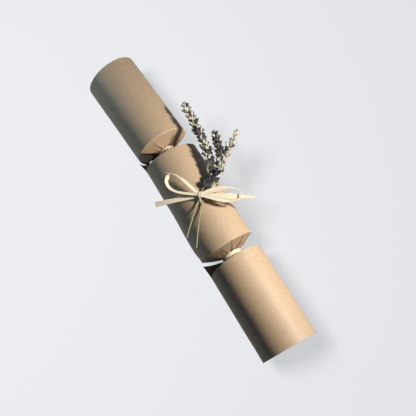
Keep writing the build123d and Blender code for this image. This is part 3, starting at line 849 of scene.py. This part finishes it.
def lavender_sprig(name, route, whorls, seed, brightness, node_share):
    """Dried sprig: a tapering four sided stem with a swollen node, then whorls of cups and bracts to its tip.

    Brightness is the share of pale cups, which falls to none in the lowest whorls as painted shade near the
    knot.
    """
    draw = np.random.default_rng(seed)
    line, length = route_line(route, 150)
    share = np.linspace(0, 1, 150)
    turn = full_turn(12)
    swell = 0.35 * np.exp(-((share - node_share) * length / (1.2 * mm)) ** 2)
    radius = (0.62 - 0.22 * share + swell)[:, None] * mm * (1 + 0.07 * np.cos(4 * turn))
    direction, across, lift = line_frames(line)
    ring = np.cos(turn)[:, None] * across[:, None] + np.sin(turn)[:, None] * lift[:, None]
    parts = [tinted(loft(line[:, None] + ring * radius[..., None], edge=1), 0.5)]
    lowest = whorls[-1][0]
    rows = []
    for below_tip, count, size, spread in whorls:
        spot = length - below_tip * mm - size * 0.5 * mm + draw.normal(0, 0.6 * mm, count)
        turns = 2 * np.pi * (np.arange(count) + draw.uniform(0, 1)) / count + draw.normal(0, 0.18, count)
        index = np.clip(spot / length * 149, 0, 149)
        base = joined(*[np.interp(index, np.arange(150), line[:, axis]) for axis in range(3)])
        near = index.astype(int)
        out = np.cos(turns)[:, None] * across[near] + np.sin(turns)[:, None] * lift[near]
        tilt = np.radians(spread + draw.normal(0, 9, count))[:, None]
        lean = unit(direction[near] * np.cos(tilt) + out * np.sin(tilt))
        sizes = size * draw.uniform(0.82, 1.14, count)
        # Painted shade: the lowest whorls, near the knot, get dark cups only
        pale = draw.uniform(0, 1, count) < brightness * smooth_step(lowest, lowest - 20, below_tip)
        tones = np.where(pale, draw.uniform(0.7, 1, count), draw.uniform(0, 0.3, count))
        rows.append((base + out * 0.45 * mm, lean, sizes, tones))
    places, leans, sizes, tones = [np.concatenate(column) for column in zip(*rows)]
    cup, cup_uv = cup_shape()
    turned = turned_to(leans, draw.uniform(0, 6.3, len(leans)))
    scale = joined(sizes * 0.22, sizes * 0.22, sizes)[:, None, None] * mm
    cups = np.einsum("cij,crkj->crki", turned, cup * scale) + places[:, None, None]
    parts += [tinted(loft(shape, cup_uv), tone) for shape, tone in zip(cups, tones)]
    bract = bract_shape()
    bract_uv = joined(0.5, 0.2 + 0.25 * bract[..., 2])
    keep = np.arange(0, len(places), 4)
    bearing = unit(leans[keep] * 0.8 + draw.normal(0, 0.25, (len(keep), 3)))
    turned = turned_to(bearing, draw.uniform(0, 6.3, len(keep)))
    bracts = np.einsum("cij,rkj->crki", turned, bract * 3.0 * mm) + places[keep][:, None, None]
    for shape, matrix in zip(bracts, turned):
        parts.append(tinted(slab(shape, shape - matrix[:, 1] * 0.12 * mm, bract_uv, border=0), 0.75))
    piece_from(name, parts, [calyx, straw], "barrel", name + "_sprig")


stem_height = bow_seat + 0.75 * mm
stem_step = 1.32
knot_x = bow_x / mm
knot_y = bow_y / mm


def sprig_route(points):
    """Route of a sprig from millimetres: x, y and the height over the bow's stems."""
    return [(x * mm, y * mm, stem_height + height * mm) for x, y, height in points]


tall_route = sprig_route([(28.8, -25.1, 0), (knot_x - stem_step, knot_y - 1.37, 0), (-6.2, 18.2, 0.2),
                          (-18.1, 26.5, -1.2), (-44.8, 32.8, -3.7), (-78.9, 35.2, -2.5)])
middle_route = sprig_route([(40.5, -22.4, 0), (knot_x, knot_y, 0), (-4.3, 18.6, 0), (-14.8, 34.6, -0.3),
                            (-23.4, 39.4, 0.4), (-38.9, 42.3, 1.5)])
right_route = sprig_route([(11.5, 0.3, 0), (knot_x + stem_step, knot_y + 1.37, 0), (2.3, 14.5, 0.3),
                           (-7.0, 26.7, 0), (-17.7, 42.1, 0), (-28.8, 59.1, 0.5)])

# Whorls from the tip down: millimetres below the tip, number of cups, cup length, spread from the stem
tall_whorls = [(0, 6, 4.2, 16), (1.5, 8, 4.8, 36), (5.5, 8, 5.0, 44)]
tall_whorls += [(11.0 + 4.5 * step, 8, 5.4, 45) for step in range(9)]
tall_whorls += [(52, 8, 5.6, 44), (57, 8, 5.6, 42), (62, 7, 5.6, 36), (68, 7, 6.0, 28), (75, 6, 6.2, 22),
                (82, 6, 6.2, 18)]
middle_whorls = [(0, 6, 4.0, 14), (2.5, 8, 4.8, 34), (6, 9, 5.2, 42)]
middle_whorls += [(10.0 + 4.0 * step, 9, 5.2, 44) for step in range(4)]
middle_whorls += [(26, 8, 5.4, 42), (31, 7, 5.6, 36), (37, 7, 6.0, 28), (43, 6, 6.0, 22), (49, 6, 6.0, 16)]
right_whorls = [(0, 5, 4.4, 12), (3.5, 7, 4.8, 26), (8, 8, 5.0, 33)]
right_whorls += [(12.5 + 4.5 * step, 8, 5.0, 36) for step in range(4)]
right_whorls += [(30.5, 8, 5.4, 42), (35.5, 8, 5.6, 44), (40.5, 8, 5.6, 40), (46, 7, 5.8, 34),
                 (52, 6, 6.0, 26), (58, 5, 6.0, 18)]
lavender_sprig("lavender_tall", tall_route, tall_whorls, 51, 0.5, 0.12)
lavender_sprig("lavender_middle", middle_route, middle_whorls, 53, 0.15, 0.16)
lavender_sprig("lavender_right", right_route, right_whorls, 55, 0.65, 0.1)


# Contents

def paper_crown():
    """Tissue crown, folded to and fro in four layers that lie round the wall, with points along one edge."""
    low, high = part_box("paper_crown")
    run, along = grid(np.linspace(0, 4, 260), np.linspace(0, 1, 40))
    swing = np.abs((run + 1) % 2 - 1)
    angle = np.radians(50 + 90 * swing)
    points = np.abs((swing * 6) % 1 - 0.5) * 2
    reach = low.x + (high.x - low.x - 4.5 * mm - 16 * mm * (1 - points)) * along
    radius = tube_radius - card - 0.42 * mm - 0.2 * mm * run + 0.05 * mm * np.sin(30 * run + 5 * along)
    face = barrel.place(reach, radius, angle)
    rear = barrel.place(reach, radius - 0.06 * mm, angle)
    sheet = slab(face, rear, joined(run, along))
    piece_from("crown_tissue", [sheet], [tissue], "crown", "paper_crown")


def motto_scroll():
    """Paper slip rolled up: a spiral of two and a half turns, its ends a little out of line."""
    low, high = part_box("motto_slip")
    middle = (low + high) / 2
    turn, along = grid(np.linspace(0, 5 * np.pi, 150), np.linspace(0, 1, 16))
    radius = ((high.y - low.y) / 2 - (0.1 + 0.09 * turn) * mm)[..., None]
    x = low.x + 0.6 * mm + (high.x - low.x - 5.7 * mm) * along + 0.04 * mm * turn
    out = joined(0, np.sin(turn), np.cos(turn))
    line = joined(x, middle.y, middle.z)
    sheet = slab(line + out * radius, line + out * (radius - 0.09 * mm), joined(turn * 0.003, x))
    piece_from("motto_scroll", [sheet], [plain_paper], "motto", "motto_slip")


def turned_part(profile, centre):
    """Wood turned about the X axis: rings of a radius at each length along it."""
    turn = full_turn(48)
    along, radius = np.array(profile).T[..., None] * mm
    return loft(joined(along, centre.y + radius * np.sin(turn), centre.z + radius * np.cos(turn)))


def spinning_top():
    """Gift: a turned disc with a bead and a groove, on a peg with a rounded point."""
    low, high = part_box("gift_top_disc")
    centre = (low + high) / 2
    left, right, rim = low.x / mm, high.x / mm, (high.y - low.y) / 2 / mm
    disc = [(left, 1.6), (left, 4.2), (left + 0.3, rim - 1.2), (left + 0.9, rim - 0.25), (left + 1.6, rim),
            (left + 2.3, rim), (left + 2.5, rim - 0.35), (left + 2.7, rim - 0.35), (left + 2.9, rim),
            (right - 2.6, rim - 0.1), (right - 1.6, rim - 1.0), (right - 0.5, rim - 3.0), (right, 2.6),
            (right, 1.6)]
    peg_low, peg_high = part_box("gift_top_peg")
    start, end = peg_low.x / mm, peg_high.x / mm
    peg = [(start, 0.9), (start + 0.3, 1.35), (start + 0.8, 1.48), (start + 4, 1.4), (end - 4, 1.48),
           (end - 1.2, 1.2), (end - 0.4, 0.7), (end, 0.25)]
    for name, profile in (("disc", disc), ("peg", peg)):
        part = turned_part(profile, centre)
        piece_from("gift_" + name, [part], [wood], "gift", "gift_top_" + name)


paper_crown()
motto_scroll()
spinning_top()

plain_nodes = {"left_snap_strip": grey_board, "right_snap_strip": grey_board, "snap_band": plain_paper,
               "left_snap_patch": grit_patch, "right_snap_patch": grit_patch, "glue_dot": glue}
for node, finish in plain_nodes.items():
    frame["nodes"][node].data.materials.clear()
    frame["nodes"][node].data.materials.append(finish)


# Floor, light and camera

pale_tone = paint(233, 234, 237)


def pale_floor():
    """Pale ground: mostly its own even tone to the camera, with a soft shadow, and dull to other light."""
    made, tree, shader, _ = new_finish("pale_floor", 1.0)
    shader.inputs["Specular IOR Level"].default_value = 0
    rays = add(tree, "LightPath").outputs
    seen = rays["Is Camera Ray"]
    for other in (share_of(tree, rays["Is Glossy Ray"], 0.3), rays["Is Transmission Ray"]):
        seen = add(tree, "Math", {0: seen, 1: other}, operation="MAXIMUM").outputs["Value"]
    tone = mixed(tree, seen, paint(120, 126, 138), paint(234, 235, 238))
    tree.links.new(tone, shader.inputs["Base Color"])
    glow = add(tree, "Emission", {"Color": pale_tone, "Strength": 1.0}).outputs["Emission"]
    blend = add(tree, "MixShader", {"Fac": share_of(tree, seen, 0.72), 1: shader.outputs["BSDF"], 2: glow})
    tree.links.new(blend.outputs["Shader"], tree.nodes["Material Output"].inputs["Surface"])
    side = 6.0
    corners = [(-side, -side, 0), (side, -side, 0), (side, side, 0), (-side, side, 0)]
    mesh = bpy.data.meshes.new("floor")
    mesh.from_pydata(corners, [], [(0, 1, 2, 3)])
    mesh.materials.append(made)
    ground = bpy.data.objects.new("floor", mesh)
    ground.location.z = -0.05 * mm
    bpy.context.scene.collection.objects.link(ground)
    return ground


def soft_lamp(name, place, target, side, power, colour, state, linked):
    """Square lamp at a place, turned to a target, that lights the linked objects alone or leaves them out."""
    lamp = bpy.data.lights.new(name, "AREA")
    lamp.size = side
    lamp.energy = power
    lamp.color = colour
    holder = bpy.data.objects.new(name, lamp)
    holder.location = place
    holder.rotation_euler = (Vector(target) - Vector(place)).to_track_quat("-Z", "Y").to_euler()
    bpy.context.scene.collection.objects.link(holder)
    receivers = bpy.data.collections.new(name + "_receivers")
    for receiver in linked:
        receivers.objects.link(receiver)
    for entry in receivers.collection_objects:
        entry.light_linking.link_state = state
    holder.light_linking.receiver_collection = receivers


def studio_air():
    """World: pale to the camera, a dim cool light to the pieces."""
    world = bpy.data.worlds.new("studio")
    world.use_nodes = True
    tree = world.node_tree
    light = tree.nodes["Background"]
    light.inputs["Color"].default_value = (0.5, 0.73, 1.0, 1)
    light.inputs["Strength"].default_value = 0.064
    pale = add(tree, "Background", {"Color": pale_tone, "Strength": 1.0}).outputs["Background"]
    seen = add(tree, "LightPath").outputs["Is Camera Ray"]
    air = add(tree, "MixShader", {"Fac": seen, 1: light.outputs["Background"], 2: pale})
    tree.links.new(air.outputs["Shader"], tree.nodes["World Output"].inputs["Surface"])
    bpy.context.scene.world = world


floor = pale_floor()
soft_lamp("key_lamp", (0.1, 0.23, 0.235), (0, 0, 0.03), 0.05, 1.4, (1.0, 0.96, 0.9),
          "EXCLUDE", [floor, left_loose_tab, right_loose_tab])
soft_lamp("fill_lamp", (-0.32, -0.14, 0.2), (-0.12, 0, 0.03), 0.15, 0.24, (0.5, 0.76, 1.0),
          "EXCLUDE", [floor, right_handle_card, right_loose_tab])
soft_lamp("floor_lamp", (-0.22, -0.34, 1.1), (0, 0, 0), 0.45, 14.5, (1.0, 1.0, 1.0), "INCLUDE", [floor])
studio_air()
bpy.context.scene.view_settings.view_transform = "Standard"

photo_side = 416
focal_pixels = 698.2
camera_data = bpy.data.cameras.new("camera")
camera_data.sensor_width = 36
camera_data.lens = camera_data.sensor_width * focal_pixels / photo_side
camera = bpy.data.objects.new("camera", camera_data)
view_back = Vector((0.3244, -0.0388, 0.9451)).normalized()
view_right = Vector((0.5052, 0.8518, -0.1384))
view_up = view_back.cross(view_right).normalized()
view_right = view_up.cross(view_back)
turned = Matrix((view_right, view_up, view_back)).transposed().to_4x4()
camera.matrix_world = Matrix.Translation((0.2062, -0.0193, 0.6049)) @ turned
bpy.context.scene.collection.objects.link(camera)
bpy.context.scene.camera = camera
